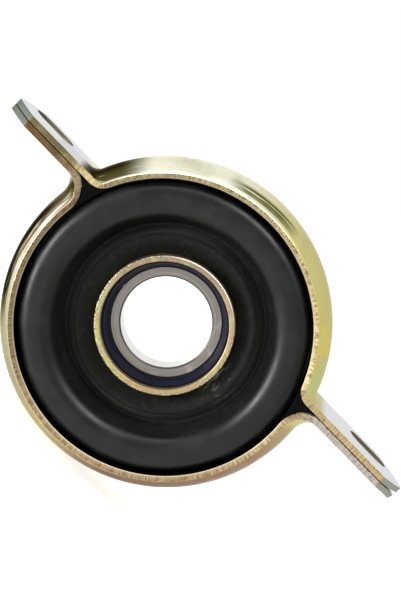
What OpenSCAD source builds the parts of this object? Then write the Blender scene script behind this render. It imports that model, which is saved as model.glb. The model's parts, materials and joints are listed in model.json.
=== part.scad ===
// Driveshaft centre bearing: a ball bearing in a rubber cushion, held by a two-piece strap bracket.
// The shaft runs along Y and the front faces -Y. The two ears lie along X and bolt upwards, along +Z.

/* [Bearing] */
// Diameter of the shaft that the inner race is pressed on
shaft_d = 35; // [33:0.5:37]
// Outside diameter of the ball bearing
bearing_d = 62; // [60:0.5:66]
// Width of the ball bearing along the shaft
bearing_w = 14; // [13.5:0.5:16]
// Diameter of each ball
ball_d = 7.938; // [7.2:0.1:8.4]
// Number of balls
ball_count = 11; // [9:1:11]
// Height of the race shoulders above the bottom of the ball grooves
groove_depth = 1.15; // [0.9:0.05:1.4]
// Round on the corners of the races
race_round = 0.8; // [0.4:0.1:1]
// Sheet thickness of the ball cage
cage_t = 0.9; // [0.6:0.1:1]
// Thickness of the seal on each side of the bearing
seal_t = 0.9; // [0.6:0.1:1]

/* [Sleeve] */
// Sheet thickness of the sleeve round the bearing
sleeve_t = 2.3; // [1.5:0.1:3]
// How far the neck stands out in front of the bearing
neck_reach = 9.5; // [8:0.5:13]
// How far the lip behind the bearing turns in
back_lip = 2; // [1:0.5:2.5]
// Radial width of the dust seal in the neck
dust_seal_w = 2.5; // [2:0.1:3.5]
// How far the dust seal sits behind the end of the neck
dust_seal_inset = 4.2; // [2:0.1:5]

/* [Cushion] */
// Rubber on the outside of the sleeve
hub_coat = 2.5; // [1.5:0.1:3.5]
// Height of the rubber ridge in front of the sleeve
hub_ridge = 3; // [1.5:0.1:4]
// Width of the valley between the hub and the bulge
valley_w = 2.5; // [1.5:0.1:4]
// Wall thickness of the rubber bulge
bulge_wall = 4.2; // [3:0.1:5]
// Round of the two shoulders of the bulge
bulge_round = 4.8; // [3:0.1:5]
// Gap between the bulge and the lip of the bracket
bulge_gap = 1.6; // [1:0.1:4]
// How far the bulge sits behind the front edge of the bracket
bulge_inset = 1.3; // [0.5:0.1:3]
// Depth of the rubber band that fills the bracket
band_w = 19.5; // [16:0.5:24]

/* [Bracket] */
// Sheet thickness of both bracket halves
sheet_t = 2.5; // [2:0.1:3]
// Inside diameter of the bracket at its two lips
ring_d = 112.8; // [110:0.2:122]
// Width of the bracket ring along the shaft, between its lips
ring_w = 31.6; // [28:0.2:38]
// How far the middle of the bracket ring is hollowed out from the lips
ring_bulge = 4.6; // [3:0.1:6]
// How far the middle of the bracket lies in front of the middle of the bearing
bracket_offset = 7; // [5:0.5:9]
// Height of the joint between the ears above the shaft
ear_z = 18.5; // [14:0.5:20]
// Width of the ears along the shaft
ear_w = 31; // [28:0.5:32]
// Bend between the ring and the ears of the upper half
upper_bend_r = 7; // [5:0.1:9]
// Bend between the ring and the ears of the lower half
lower_bend_r = 10.5; // [8:0.1:13]
// Length of the cut on the front corner of the ears
tip_cut = 8.5; // [5:0.5:10]
// Length of the slant on the back corner of the ears
tip_slant = 12; // [9:0.5:14]
// From the shaft to the middle of the slot in the short ear
short_ear_slot = 82.3; // [80:0.1:90]
// From the shaft to the middle of the slot in the long ear
long_ear_slot = 89.3; // [84:0.1:96]
// From the middle of the slot to the tip of the short ear
short_ear_end = 16.5; // [16:0.5:24]
// From the middle of the slot to the tip of the long ear
long_ear_end = 18; // [16:0.5:26]
// How far the tips of the long ear stand apart
tip_gap = 1.3; // [0:0.1:2]
// Width of the mounting slots
slot_w = 11; // [9:0.5:12]
// Length of the mounting slots from end to end
slot_l = 19; // [16:0.5:22]
// How far the mounting slots lie behind the middle of the ears
slot_back = 4.8; // [0:0.1:6]

/* [Hidden] */
$fn = 96;
// Room where rubber is held by steel, and where one piece of steel is pressed into another
fit_gap = 0.3;
seat_gap = 0.1;
// Running room: between a ball and its groove, a ball and its pocket, a seal and the turning race
ball_gap = 0.06;
pocket_gap = 0.25;
lip_gap = 0.5;
// Share of the ball diameter that is the radius of the grooves
groove_share = 0.52;
// Steps in each rounded corner of a profile
corner_steps = 6;

// Bearing: races, grooves and seals, as radii and as distances along the shaft
ball_r = ball_d / 2;
pitch_r = (shaft_d + bearing_d) / 4;
bearing_half = bearing_w / 2;
inner_shoulder_r = pitch_r - ball_r + groove_depth;
outer_shoulder_r = pitch_r + ball_r - groove_depth;
groove_r = groove_share * ball_d;
groove_shift = groove_r - ball_r - ball_gap;
seal_recess = 0.5;
seal_back = bearing_half - seal_recess - seal_t;
seal_seat = 1;
seal_ridge = 1.1;
seal_step = 0.25;

// Cage: two wavy rings that meet between the balls, with a rivet there
cage_room = 0.8;
cage_half_w = (outer_shoulder_r - inner_shoulder_r) / 2 - cage_room;
pocket_r = ball_r + pocket_gap;
rivet_r = 0.6;
rivet_room = 0.05;
rivet_head_r = 1.1;
rivet_head_t = 0.5;
ball_pitch = 360 / ball_count;

// Sleeve and dust seal
sleeve_in = bearing_d / 2 + seat_gap;
sleeve_out = sleeve_in + sleeve_t;
flange_back = bearing_half + seat_gap;
flange_front = flange_back + sleeve_t;
dust_seal_in = inner_shoulder_r + lip_gap;
dust_seal_out = dust_seal_in + dust_seal_w;
neck_in = dust_seal_out + seat_gap;
neck_out = neck_in + sleeve_t;
neck_front = bearing_half + neck_reach;
dust_seal_front = neck_front - dust_seal_inset;
dust_seal_back = bearing_half + lip_gap;
dust_seal_lip = 1;
dust_seal_rim = 0.8;

// Bracket ring, ears and bends
ring_r = ring_d / 2;
ring_half = ring_w / 2;
ear_half = ear_w / 2;
bulge_power = 2.5;
tip_flare = 9;
tip_front_at = 5.5;
tip_back_at = 2.5;
tip_power = 0.75;
tip_insets = [0, 0.1 * tip_cut, 0.3 * tip_cut, 0.6 * tip_cut, tip_cut, (tip_cut + tip_slant) / 2, tip_slant];
ring_step = 3.6;
bend_steps = 9;
strip_steps = 12;
slot_reach = 3 * sheet_t;

// Cushion
core_r = ring_r - fit_gap;
hub_in = sleeve_out + seat_gap;
hub_out = hub_in + hub_coat;
hub_back_inset = 1;
hub_back = -bearing_half + hub_back_inset;
skin_t = 0.8;
skin_back = flange_front + seat_gap;
skin_in = neck_out + fit_gap;
ridge_r = (skin_in + hub_out) / 2;
ridge_front = skin_back + hub_ridge;
ridge_round = 3;
bulge_out = ring_r - bulge_gap;
bulge_in = hub_out + valley_w;
bulge_front = bracket_offset + ring_half - bulge_inset;
outer_lean = 0.5;
inner_lean = 2;
shoulder_round = min(bulge_round, 0.45 * (bulge_out - outer_lean - bulge_in - inner_lean));
valley_depth = 1.4;
valley = skin_back - valley_depth;
valley_round = 1;
band_inset = 1.5;
band_back = bracket_offset - ring_half + band_inset;
band_front = band_back + band_w;
band_in = core_r - bulge_wall;
back_round = 2.5;
inside_round = 0.9;
rubber_edge = 0.6;
wedge_inset = 1;
wedge_root = 6.6;
wedge_end = 4.6;

// A corner b between a and c, rounded to radius r
function unit(v) = v / norm(v);
function corner_arc(a, b, c, r) =
    let (
        to_a = unit(a - b),
        to_c = unit(c - b),
        half = acos(to_a * to_c) / 2,
        centre = b + unit(to_a + to_c) * r / sin(half),
        from = b + to_a * r / tan(half) - centre,
        to = b + to_c * r / tan(half) - centre,
        turn = atan2(cross(from, to), from * to),
        start = atan2(from[1], from[0])
    )
    [for (i = [0:corner_steps]) centre + r * [cos(start + turn * i / corner_steps),
                                             sin(start + turn * i / corner_steps)]];

// A closed outline from corners [radius, distance along the shaft, round]
function flat(p) = [p[0], p[1]];
function rounded(corners) =
    let (n = len(corners))
    [for (i = [0:n - 1])
        let (
            before = corners[(i + n - 1) % n],
            here = corners[i],
            after = corners[(i + 1) % n]
        )
        each here[2] == 0 ? [flat(here)] : corner_arc(flat(before), flat(here), flat(after), here[2])];

// Drawn with the shaft upright, then laid down so that the front faces -Y
module on_shaft() {
    rotate([90, 0, 0]) children();
}

module revolved(corners) {
    on_shaft() rotate_extrude() polygon(rounded(corners));
}

module round_each_ball(offset_turn = 0) {
    for (i = [0:ball_count - 1])
        rotate([0, 0, (i + offset_turn) * ball_pitch]) translate([pitch_r, 0, 0]) children();
}

// Bracket strip. It is made of fibres that run side by side from the tip of the long ear to the tip of the
// short ear. Across the strip u goes from -1 at the back lip to 1 at the front lip. A fibre follows its own
// ring circle, a bend that touches that circle and the plane of the ears, and then the ear.
// side is 1 for the upper half and -1 for the lower half, hand is 1 at the long ear and -1 at the short ear.
function smooth(t) = t * t * (3 - 2 * t);
function hollow(u) = 1 - pow(abs(u), bulge_power);
function hollow_slope(u) = ring_bulge * bulge_power * pow(abs(u), bulge_power - 1) * sign(u) / ring_half;
function bend_z(side, bend_r) = ear_z + side * bend_r;
function bend_x(side, bend_r, fibre_r) = sqrt(pow(fibre_r + bend_r, 2) - pow(bend_z(side, bend_r), 2));
function bend_turn(side, bend_r, fibre_r) = atan2(bend_z(side, bend_r), bend_x(side, bend_r, fibre_r));

// The stations along every fibre: [part of the path, how far along that part, hand].
// An ear is measured from its tip, a bend from the ear and the ring from its first bend.
function stations(side, bend_r) =
    let (steps = ceil((180 - side * 2 * bend_turn(side, bend_r, ring_r)) / ring_step))
    concat(
        [for (inset = tip_insets) ["ear", inset, 1]],
        [for (i = [0:bend_steps]) ["bend", i / bend_steps, 1]],
        [for (i = [1:steps - 1]) ["ring", i / steps, 1]],
        [for (i = [bend_steps:-1:0]) ["bend", i / bend_steps, -1]],
        [for (i = [len(tip_insets) - 1:-1:0]) ["ear", tip_insets[i], -1]]
    );

// How much of the ring's width a station has: the strip takes it up in the half of the bend next to the ring
function ring_share(s) = s[0] == "ear" ? 0 : s[0] == "ring" ? 1 : smooth(max(0, 2 * s[1] - 1));

// Where the fibre u crosses a station, in front of the middle of the strip. The tip of an ear lies towards its
// front edge, with a short cut to that edge and a long slant to the back edge.
function tip_share(inset, length) = pow(min(1, inset / length), tip_power);
function tip_front(inset) = tip_front_at + (ear_half - tip_front_at) * tip_share(inset, tip_cut);
function tip_back(inset) = tip_back_at - (ear_half + tip_back_at) * tip_share(inset, tip_slant);
function crossing(s, u) =
    s[0] == "ear"
        ? (tip_front(s[1]) * (1 + u) + tip_back(s[1]) * (1 - u)) / 2
        : (ear_half + (ring_half - ear_half) * ring_share(s)) * u;

// Where a fibre passes a station, as [x, z]: fibre_r is its ring radius and rise its height on the ear
function ear_place(side, s, rise) =
    let (
        tip = s[2] > 0 ? long_ear_slot + long_ear_end : short_ear_slot + short_ear_end,
        flare = side < 0 && s[2] > 0 ? tip_gap * pow(max(0, 1 - s[1] / tip_flare), 2) : 0
    )
    [s[2] * (tip - s[1]), ear_z + side * (rise + flare)];
function bend_place(side, s, bend_r, rise, fibre_r) =
    let (
        r = bend_r - rise,
        z = bend_z(side, bend_r),
        x = sqrt(pow(fibre_r + r, 2) - z * z),
        last = atan2(z, x),
        turn = side * -90 + (side * 90 - last) * s[1]
    )
    [s[2] * (x - r * cos(turn)), z + r * sin(turn)];
function ring_place(side, s, bend_r, rise, fibre_r) =
    let (
        r = bend_r - rise,
        first = asin(bend_z(side, bend_r) / (fibre_r + r)),
        turn = first + side * (180 - side * 2 * first) * s[1]
    )
    fibre_r * [cos(turn), sin(turn)];
function place(side, s, bend_r, rise, fibre_r) =
    s[0] == "ear" ? ear_place(side, s, rise)
    : s[0] == "bend" ? bend_place(side, s, bend_r, rise, fibre_r)
    : ring_place(side, s, bend_r, rise, fibre_r);

// The strip across one station: the inner side, then the outer side one sheet thickness away
function strip_point(side, s, bend_r, u, sheet) =
    let (
        lift = unit([hollow_slope(u), 1]) * sheet,
        fibre_r = ring_r + ring_bulge * hollow(u) + lift[1],
        along = bracket_offset + crossing(s, u) + lift[0] * ring_share(s),
        at = place(side, s, bend_r, sheet, fibre_r)
    )
    [at[0], -along, at[1]];
function strip_section(side, s, bend_r) =
    concat(
        [for (j = [0:strip_steps]) strip_point(side, s, bend_r, 2 * j / strip_steps - 1, 0)],
        [for (j = [strip_steps:-1:0]) strip_point(side, s, bend_r, 2 * j / strip_steps - 1, sheet_t)]
    );

module bracket_strip(side, bend_r) {
    path = stations(side, bend_r);
    around = 2 * (strip_steps + 1);
    last = (len(path) - 1) * around;
    sides = [for (k = [0:len(path) - 2], i = [0:around - 1])
        let (a = k * around + i, b = k * around + (i + 1) % around)
        each [[a, b, a + around], [b, b + around, a + around]]];
    ends = [for (j = [0:strip_steps - 1])
        let (a = j, b = j + 1, c = around - 2 - j, d = around - 1 - j)
        each [[a, c, b], [a, d, c], [last + a, last + b, last + c], [last + a, last + c, last + d]]];
    faces = concat(sides, ends);
    polyhedron(
        points = [for (s = path) each strip_section(side, s, bend_r)],
        faces = side < 0 ? faces : [for (f = faces) [f[2], f[1], f[0]]]
    );
}

module mounting_slot(x) {
    straight = slot_l - slot_w;
    translate([x, slot_back - bracket_offset, ear_z - slot_reach])
        linear_extrude(2 * slot_reach) {
            square([straight, slot_w], center = true);
            for (end = [-1, 1]) translate([end * straight / 2, 0]) circle(d = slot_w);
        }
}

module bracket(side, bend_r) {
    color([0.78, 0.7, 0.46])
        difference() {
            bracket_strip(side, bend_r);
            mounting_slot(-short_ear_slot);
            mounting_slot(long_ear_slot);
        }
}

module upper_bracket() {
    bracket(1, upper_bend_r);
}

module lower_bracket() {
    bracket(-1, lower_bend_r);
}

// Rubber cushion: a hub on the sleeve, one bulge open at the back, and a band that fills the bracket's hollow
function band_corner(y) = [core_r + ring_bulge * hollow((y - bracket_offset) / ring_half), y, 0];

module cushion_ring() {
    band_steps = 2 * corner_steps;
    revolved(concat(
        [
            [hub_in, hub_back, 0],
            [hub_out, hub_back, rubber_edge],
            [hub_out, valley - bulge_wall, back_round],
            [bulge_in + bulge_wall, valley - bulge_wall, back_round],
            [bulge_in + bulge_wall, bulge_front - bulge_wall, inside_round],
            [bulge_out - bulge_wall, bulge_front - bulge_wall, inside_round],
            [band_in, band_back, rubber_edge]
        ],
        [for (i = [0:band_steps]) band_corner(band_back + band_w * i / band_steps)],
        [
            [bulge_out, band_front, rubber_edge],
            [bulge_out - outer_lean, bulge_front, shoulder_round],
            [bulge_in + inner_lean, bulge_front, shoulder_round],
            [bulge_in, valley, valley_round],
            [hub_out, valley, valley_round],
            [ridge_r, ridge_front, ridge_round],
            [skin_in, skin_back + skin_t, skin_t / 2],
            [skin_in, skin_back, 0],
            [hub_in, skin_back, hub_coat]
        ]
    ));
}

// Rubber in the notch between the bends of the two halves at one ear
module cushion_wedge(hand) {
    lower = [bend_x(-1, lower_bend_r, ring_r), bend_z(-1, lower_bend_r)];
    upper = [bend_x(1, upper_bend_r, ring_r), bend_z(1, upper_bend_r)];
    root = [core_r - wedge_root, lower[1]];
    end = [lower[0] - wedge_end, core_r * sin(bend_turn(1, upper_bend_r, ring_r))];
    on_shaft()
        mirror([hand < 0 ? 1 : 0, 0, 0])
            translate([0, 0, band_back + wedge_inset])
                linear_extrude(band_w - 2 * wedge_inset)
                    difference() {
                        translate(root) square(end - root);
                        translate(lower) circle(r = lower_bend_r + fit_gap);
                        translate(upper) circle(r = upper_bend_r + fit_gap);
                        translate([upper[0], ear_z - fit_gap]) square(upper_bend_r);
                        circle(r = core_r - wedge_inset);
                    }
}

module rubber_cushion() {
    color([0.16, 0.165, 0.16]) {
        cushion_ring();
        cushion_wedge(1);
        cushion_wedge(-1);
    }
}

module bearing_sleeve() {
    lip_r = sleeve_in - back_lip;
    color([0.76, 0.67, 0.42])
        revolved([
            [lip_r, -flange_front, 0.4],
            [lip_r, -flange_back, 0.3],
            [sleeve_in, -flange_back, 0.3],
            [sleeve_in, flange_back, 0.3],
            [neck_in, flange_back, sleeve_t],
            [neck_in, neck_front, 0.3],
            [neck_out, neck_front, 0.5],
            [neck_out, flange_front, 0.8],
            [sleeve_out, flange_front, 3],
            [sleeve_out, -flange_front, 2.5]
        ]);
}

module dust_seal() {
    color([0.13, 0.14, 0.22])
        revolved([
            [dust_seal_in, dust_seal_back, 0.2],
            [dust_seal_out, dust_seal_back, 0.6],
            [dust_seal_out, dust_seal_front, 0.3],
            [dust_seal_out - dust_seal_rim, dust_seal_front, 0.3],
            [dust_seal_in, dust_seal_back + dust_seal_lip, 0.3]
        ]);
}

module outer_race() {
    seat_r = outer_shoulder_r + seal_seat;
    color([0.62, 0.62, 0.61])
        on_shaft()
            rotate_extrude()
                difference() {
                    polygon(rounded([
                        [outer_shoulder_r, -seal_back, 0],
                        [seat_r, -seal_back, 0],
                        [seat_r, -bearing_half, 0],
                        [bearing_d / 2, -bearing_half, race_round],
                        [bearing_d / 2, bearing_half, race_round],
                        [seat_r, bearing_half, 0],
                        [seat_r, seal_back, 0],
                        [outer_shoulder_r, seal_back, 0]
                    ]));
                    translate([pitch_r - groove_shift, 0]) circle(r = groove_r);
                }
}

module inner_race() {
    color([0.66, 0.65, 0.63])
        on_shaft()
            rotate_extrude()
                difference() {
                    polygon(rounded([
                        [shaft_d / 2, -bearing_half, race_round],
                        [inner_shoulder_r, -bearing_half, 0.3],
                        [inner_shoulder_r, bearing_half, 0.3],
                        [shaft_d / 2, bearing_half, race_round]
                    ]));
                    translate([pitch_r + groove_shift, 0]) circle(r = groove_r);
                }
}

module bearing_seal(side) {
    inner = inner_shoulder_r + lip_gap;
    outer = outer_shoulder_r + seal_seat - seat_gap;
    face = seal_back + seat_gap + seal_t;
    color([0.1, 0.1, 0.11])
        mirror([0, side > 0 ? 0 : 1, 0])
            revolved([
                [inner, seal_back + seat_gap, 0],
                [outer, seal_back + seat_gap, 0],
                [outer, face, 0.2],
                [outer - seal_ridge, face, 0],
                [outer - seal_ridge - seal_step, face - seal_step, 0],
                [inner + seal_ridge + seal_step, face - seal_step, 0],
                [inner + seal_ridge, face, 0],
                [inner, face, 0.2]
            ]);
}

module front_seal() {
    bearing_seal(1);
}

module rear_seal() {
    bearing_seal(-1);
}

module cage_half(side) {
    color([0.6, 0.6, 0.6])
        mirror([0, side > 0 ? 0 : 1, 0])
            on_shaft()
                difference() {
                    intersection() {
                        difference() {
                            cylinder(r = pitch_r + cage_half_w, h = pocket_r + cage_t);
                            translate([0, 0, -1])
                                cylinder(r = pitch_r - cage_half_w, h = pocket_r + cage_t + 2);
                        }
                        union() {
                            cylinder(r = pitch_r + cage_half_w + 1, h = cage_t);
                            round_each_ball() sphere(r = pocket_r + cage_t);
                        }
                    }
                    round_each_ball() sphere(r = pocket_r);
                    round_each_ball(0.5)
                        translate([0, 0, -1]) cylinder(r = rivet_r + rivet_room, h = cage_t + 2);
                }
}

module cage_front() {
    cage_half(1);
}

module cage_rear() {
    cage_half(-1);
}

module cage_rivets() {
    color([0.68, 0.68, 0.68])
        on_shaft()
            round_each_ball(0.5)
                rotate_extrude()
                    polygon([
                        [0, -cage_t - rivet_head_t],
                        [rivet_head_r, -cage_t - rivet_head_t],
                        [rivet_head_r, -cage_t],
                        [rivet_r, -cage_t],
                        [rivet_r, cage_t],
                        [rivet_head_r, cage_t],
                        [rivet_head_r, cage_t + rivet_head_t],
                        [0, cage_t + rivet_head_t]
                    ]);
}

module ball(i) {
    color([0.8, 0.8, 0.81])
        on_shaft()
            rotate([0, 0, (i - 1) * ball_pitch]) translate([pitch_r, 0, 0]) sphere(d = ball_d);
}

upper_bracket();
lower_bracket();
rubber_cushion();
bearing_sleeve();
dust_seal();
outer_race();
inner_race();
front_seal();
rear_seal();
cage_front();
cage_rear();
cage_rivets();
for (i = [1:ball_count]) ball(i);
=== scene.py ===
import json
import math

import bmesh
import bpy
import numpy as np
from mathutils import Matrix, Vector

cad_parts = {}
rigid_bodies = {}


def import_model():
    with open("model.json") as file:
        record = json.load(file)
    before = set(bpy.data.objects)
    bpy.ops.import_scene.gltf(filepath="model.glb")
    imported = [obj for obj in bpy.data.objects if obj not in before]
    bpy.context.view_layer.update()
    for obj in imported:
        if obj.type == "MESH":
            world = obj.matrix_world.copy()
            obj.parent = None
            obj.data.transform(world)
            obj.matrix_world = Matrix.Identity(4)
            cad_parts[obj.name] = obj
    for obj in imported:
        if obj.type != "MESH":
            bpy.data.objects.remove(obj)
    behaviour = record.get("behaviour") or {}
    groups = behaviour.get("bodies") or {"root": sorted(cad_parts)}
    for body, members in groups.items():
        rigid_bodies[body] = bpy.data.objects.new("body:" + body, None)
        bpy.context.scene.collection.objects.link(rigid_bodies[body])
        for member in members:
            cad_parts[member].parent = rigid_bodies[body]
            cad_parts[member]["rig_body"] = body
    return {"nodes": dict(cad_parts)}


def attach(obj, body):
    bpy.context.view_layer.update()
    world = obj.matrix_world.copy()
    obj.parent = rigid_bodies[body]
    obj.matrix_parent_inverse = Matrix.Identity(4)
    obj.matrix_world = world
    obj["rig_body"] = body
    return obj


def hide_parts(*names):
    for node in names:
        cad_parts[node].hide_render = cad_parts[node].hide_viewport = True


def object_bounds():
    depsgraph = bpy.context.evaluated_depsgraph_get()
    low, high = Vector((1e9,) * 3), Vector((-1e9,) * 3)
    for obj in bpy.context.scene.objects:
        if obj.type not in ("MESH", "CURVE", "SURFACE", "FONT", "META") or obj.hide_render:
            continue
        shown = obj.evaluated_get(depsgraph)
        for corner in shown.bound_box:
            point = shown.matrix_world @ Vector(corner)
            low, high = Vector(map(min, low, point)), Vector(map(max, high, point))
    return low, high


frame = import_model()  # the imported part, in metres, shaft along Y and front to -Y
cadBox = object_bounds()
mm = 0.001
seamGap = 0.002 * mm  # points closer than this are merged
sharpFold = 32  # degrees, sharper folds stay sharp
print("frame loaded:", len(frame["nodes"]), "nodes")


# Directions of the picture in the part's frame: the camera is turned about its own axis by roll

cameraSetup = {
    "azimuth": -3.3,  # degrees
    "elevation": 8.4,
    "roll": 46.25,
    "distance": 800 * mm,
    "target": Vector((0, -7 * mm, 0)),  # middle of the inner race's front face
    "targetPixel": (166.2, 322.2),  # where that point lies in the picture
    "picture": (401, 601),  # pixels
    "pixelSize": 0.382 * mm,  # at the target
    "sensor": 36.0,
}


def pictureAxes(setup):
    # back points from the target to the camera, right and up follow the picture's sides
    azimuth = math.radians(setup["azimuth"])
    elevation = math.radians(setup["elevation"])
    roll = math.radians(setup["roll"])
    back = Vector((
        math.sin(azimuth) * math.cos(elevation),
        -math.cos(azimuth) * math.cos(elevation),
        math.sin(elevation),
    ))
    level = Vector((0, 0, 1)).cross(back).normalized()
    rise = back.cross(level)
    right = level * math.cos(roll) + rise * math.sin(roll)
    up = rise * math.cos(roll) - level * math.sin(roll)
    return right, up, back


picRight, picUp, picBack = pictureAxes(cameraSetup)


def makeCamera(setup):
    width, height = setup["picture"]
    column, row = setup["targetPixel"]
    data = bpy.data.cameras.new("camera")
    data.sensor_width = setup["sensor"]
    data.lens = setup["sensor"] * setup["distance"] / (setup["pixelSize"] * height)
    camera = bpy.data.objects.new("camera", data)
    place = setup["target"] + picBack * setup["distance"]
    place -= picRight * (column - width / 2) * setup["pixelSize"]
    place += picUp * (row - height / 2) * setup["pixelSize"]
    turn = Matrix((picRight, picUp, picBack)).transposed().to_4x4()
    camera.matrix_world = Matrix.Translation(place) @ turn
    bpy.context.scene.collection.objects.link(camera)
    bpy.context.scene.camera = camera


makeCamera(cameraSetup)
print("camera placed")


# Shared mesh tools

def gridFaces(rows, columns):
    # the four corners of every cell of a grid whose points are stored row by row
    row, column = np.meshgrid(np.arange(rows - 1), np.arange(columns - 1), indexing="ij")
    corner = (row * columns + column).reshape(-1, 1)
    return corner + np.array([[0, 1, columns + 1, columns]])


def signedVolume(points, faces):
    # a sixth of the sum of the triple products of every triangle's corners
    a, b, c, d = (points[faces[:, i]] for i in range(4))
    return (np.cross(a, b) * c + np.cross(a, c) * d).sum() / 6


def makePiece(name, points, faces, uv, fold=sharpFold):
    # points in metres, uv in millimetres along and across the piece
    mesh = bpy.data.meshes.new(name)
    mesh.from_pydata(points.tolist(), [], faces.tolist())
    corners = np.empty(len(mesh.loops), dtype=np.int32)
    mesh.loops.foreach_get("vertex_index", corners)
    mesh.uv_layers.new(name="strip").data.foreach_set("uv", uv[corners].ravel())
    work = bmesh.new()
    work.from_mesh(mesh)
    bmesh.ops.remove_doubles(work, verts=work.verts, dist=seamGap)
    work.to_mesh(mesh)
    work.free()
    mesh.polygons.foreach_set("use_smooth", np.ones(len(mesh.polygons), dtype=bool))
    mesh.set_sharp_from_angle(angle=math.radians(fold))
    piece = bpy.data.objects.new(name, mesh)
    bpy.context.scene.collection.objects.link(piece)
    return piece


def cornerArc(before, corner, after, radius, steps):
    # an arc of that radius that touches both sides of a corner
    toBefore = (before - corner) / np.linalg.norm(before - corner)
    toAfter = (after - corner) / np.linalg.norm(after - corner)
    half = math.acos(np.clip(toBefore @ toAfter, -1, 1)) / 2
    middle = toBefore + toAfter
    centre = corner + middle / np.linalg.norm(middle) * radius / math.sin(half)
    first = corner + toBefore * radius / math.tan(half) - centre
    last = corner + toAfter * radius / math.tan(half) - centre
    turn = math.atan2(first[0] * last[1] - first[1] * last[0], first @ last)
    angle = math.atan2(first[1], first[0]) + turn * np.linspace(0, 1, steps)
    return centre + radius * np.stack([np.cos(angle), np.sin(angle)], axis=1)


def roundedOutline(corners, steps=7):
    # a closed outline from corners (radius, distance forward, round), first point repeated at the end
    flat = [np.array(c[:2], dtype=float) for c in corners]
    runs = []
    for i, (radius, forward, rounding) in enumerate(corners):
        if rounding > 0:
            runs.append(cornerArc(flat[i - 1], flat[i], flat[(i + 1) % len(flat)], rounding, steps))
        else:
            runs.append([(radius, forward)])
    outline = np.concatenate(runs)
    return np.concatenate([outline, outline[:1]])


def denser(outline, gap):
    # the same outline with points added so that none lie further apart than gap
    length = np.linalg.norm(np.diff(outline, axis=0), axis=1)
    along = np.concatenate([[0], np.cumsum(length)])
    counts = np.maximum(1, np.ceil(length / gap)).astype(int)
    runs = [a + (b - a) * np.arange(n) / n for a, b, n in zip(along[:-1], along[1:], counts)]
    wanted = np.concatenate([*runs, along[-1:]])
    return np.stack([np.interp(wanted, along, outline[:, i]) for i in range(2)], axis=1)


def turned(name, outline, steps, gap=2.0):
    # outline point (r, f) at angle a goes to (r cos a, -f, r sin a)
    outline = denser(outline, gap)
    angle = np.linspace(0, 2 * math.pi, steps + 1)[:, None]
    radius, forward = outline[None, :, 0], outline[None, :, 1]
    grid = np.stack([radius * np.cos(angle), -forward + 0 * angle, radius * np.sin(angle)], axis=-1)
    points = grid.reshape(-1, 3) * mm
    along = np.concatenate([[0], np.cumsum(np.linalg.norm(np.diff(outline, axis=0), axis=1))])
    uv = np.stack([angle * outline[:, 0].mean() + 0 * along, along + 0 * angle], axis=-1)
    faces = gridFaces(steps + 1, len(outline))
    if signedVolume(points, faces) < 0:
        faces = faces[:, ::-1]
    return makePiece(name, points, faces, uv.reshape(-1, 2))


def dress(piece, node, slotName, *materials):
    # the piece stands for its CAD node, on the body that carries the node
    for material in materials:
        piece.data.materials.append(material)
    body = frame["nodes"][node]["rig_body"]
    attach(piece, body)
    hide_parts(node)


# Shared material tools. A look is a dictionary of colours, noises (coordinates, stretch, detail, roughness,
# distortion), layers of colour, gloss (a value remapped to roughness) and bumps (value, depth, strength).
# A layer has a place (picture angle and spread, or None), masks (values remapped to shares) and a colour.

def linear(red, green, blue):
    # a colour as it looks on screen, 0 to 255, turned into light
    share = np.array([red, green, blue]) / 255
    light = np.where(share <= 0.04045, share / 12.92, ((share + 0.055) / 1.055) ** 2.4)
    return tuple(light.tolist()) + (1.0,)


white = linear(255, 255, 255)
grazingShare = 0.45  # of its colour that a metal keeps at grazing angles, the rest is white


def shaderOf(material):
    return material.node_tree.nodes["Principled BSDF"]


def startMaterial(name, **sockets):
    material = bpy.data.materials.new(name)
    material.use_nodes = True
    for socket, value in sockets.items():
        shaderOf(material).inputs[socket.replace("_", " ")].default_value = value
    return material


def link(owner, source, target):
    # a socket is linked, a number, a vector or a colour is set
    if isinstance(source, bpy.types.NodeSocket):
        owner.node_tree.links.new(source, target)
    else:
        target.default_value = source


def put(owner, kind, inputs, **settings):
    # a new node of a material or world, with its inputs by name or number
    node = owner.node_tree.nodes.new(kind)
    for key, value in settings.items():
        setattr(node, key, value)
    for key, value in inputs.items():
        link(owner, value, node.inputs[key])
    return node


def coordinate(material, kind, stretch):
    # Object or UV coordinates, stretched
    source = put(material, "ShaderNodeTexCoord", {}).outputs[kind]
    return put(material, "ShaderNodeMapping", {"Vector": source, "Scale": stretch}).outputs["Vector"]


def noise(material, kind, stretch, detail, roughness=0.5, distortion=0):
    inputs = {
        "Vector": coordinate(material, kind, stretch),
        "Scale": 1.0,
        "Detail": detail,
        "Roughness": roughness,
        "Distortion": distortion,
    }
    return put(material, "ShaderNodeTexNoise", inputs).outputs["Fac"]


def remap(material, value, low, high, toLow=0.0, toHigh=1.0):
    inputs = {"Value": value, "From Min": low, "From Max": high, "To Min": toLow, "To Max": toHigh}
    return put(material, "ShaderNodeMapRange", inputs, interpolation_type="SMOOTHSTEP").outputs["Result"]


def blendColour(material, share, first, second):
    # first and second are colours or sockets; the node's sockets for colours are picked out by their type
    node = put(material, "ShaderNodeMix", {"Factor": share}, data_type="RGBA")
    for value, target in zip((first, second), [s for s in node.inputs if s.type == "RGBA"]):
        link(material, value, target)
    return next(s for s in node.outputs if s.type == "RGBA")


def multiply(owner, first, *others):
    for other in others:
        first = put(owner, "ShaderNodeMath", {0: first, 1: other}, operation="MULTIPLY").outputs["Value"]
    return first


def largest(owner, first, second):
    return put(owner, "ShaderNodeMath", {0: first, 1: second}, operation="MAXIMUM").outputs["Value"]


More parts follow.
